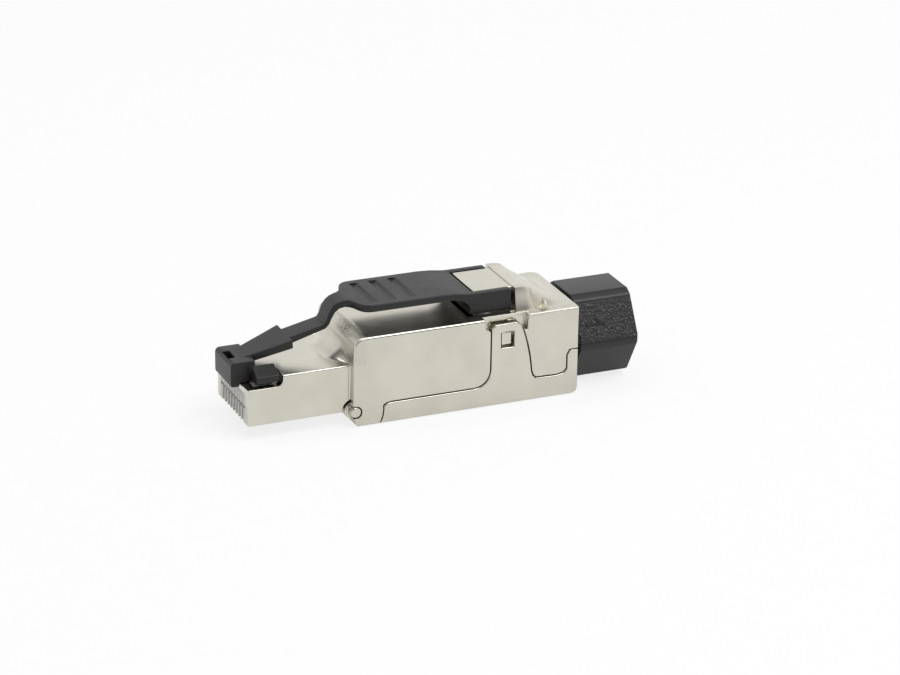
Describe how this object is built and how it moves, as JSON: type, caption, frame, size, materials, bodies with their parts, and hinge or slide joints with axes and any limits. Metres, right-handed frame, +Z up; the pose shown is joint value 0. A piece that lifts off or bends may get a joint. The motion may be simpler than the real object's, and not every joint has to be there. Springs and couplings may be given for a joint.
{
  "type": "field termination ethernet plug",
  "caption": "Shielded field-terminable modular plug with a hinged metal body, latch lever over the top and a hexagonal cable gland nut.",
  "frame": {"origin": "centre of the bounding box in X and Y, at its bottom, where the body rests", "axes": "+X runs from the plug nose to the gland nut, +Z up to the latch lever, the side seen in the picture faces -Y"},
  "size_m": [0.0562, 0.014, 0.0157],
  "materials": {
    "zinc": "nickel plated die casting, satin",
    "black_plastic": "moulded, satin",
    "carrier_plastic": "moulded, pale grey",
    "contact_gold": "gold plated",
    "board": "solder resist",
    "block_plastic": "moulded",
    "manager_plastic": "moulded",
    "spring_steel": "bright",
    "seal_rubber": "matt",
    "slip_plastic": "moulded"
  },
  "bodies": {
    "housing": {"upper_housing": "zinc", "contact_carrier": "carrier_plastic", "contact_1": "contact_gold", "contact_2": "contact_gold", "contact_3": "contact_gold", "contact_4": "contact_gold", "contact_5": "contact_gold", "contact_6": "contact_gold", "contact_7": "contact_gold", "contact_8": "contact_gold", "circuit_board": "board", "terminal_block": "block_plastic", "terminal_1": "contact_gold", "terminal_2": "contact_gold", "terminal_3": "contact_gold", "terminal_4": "contact_gold", "terminal_5": "contact_gold", "terminal_6": "contact_gold", "terminal_7": "contact_gold", "terminal_8": "contact_gold", "clamp_collet": "spring_steel", "sealing_ring": "seal_rubber"},
    "cover": {"lower_housing": "zinc", "wire_manager": "manager_plastic", "shield_spring": "spring_steel"},
    "latch": {"latch_lever": "black_plastic"},
    "gland": {"slip_ring": "slip_plastic"},
    "nut": {"gland_nut": "black_plastic"}
  },
  "joints": [
    {"name": "cover_hinge", "type": "hinge", "parent": "housing", "child": "cover", "pos_m": [-0.01243, 0, 0.0021], "axis": [0, 1, 0], "range_deg": [0, 75]},
    {"name": "latch_flex", "type": "hinge", "parent": "housing", "child": "latch", "pos_m": [-0.02478, 0, 0.0093], "axis": [0, 1, 0], "range_deg": [0, 2.6], "stiffness_Nm_per_rad": 2},
    {"name": "gland_travel", "type": "slide", "parent": "housing", "child": "gland", "axis": [1, 0, 0], "range_m": [0, 0.005]},
    {"name": "nut_turn", "type": "hinge", "parent": "gland", "child": "nut", "pos_m": [0.02322, 0, 0.00643], "axis": [1, 0, 0], "range_deg": [0, 1801]}
  ],
  "couplings": [
    {"joint": "nut_turn", "follows": "gland_travel", "rad_per_m": 6283.2}
  ]
}
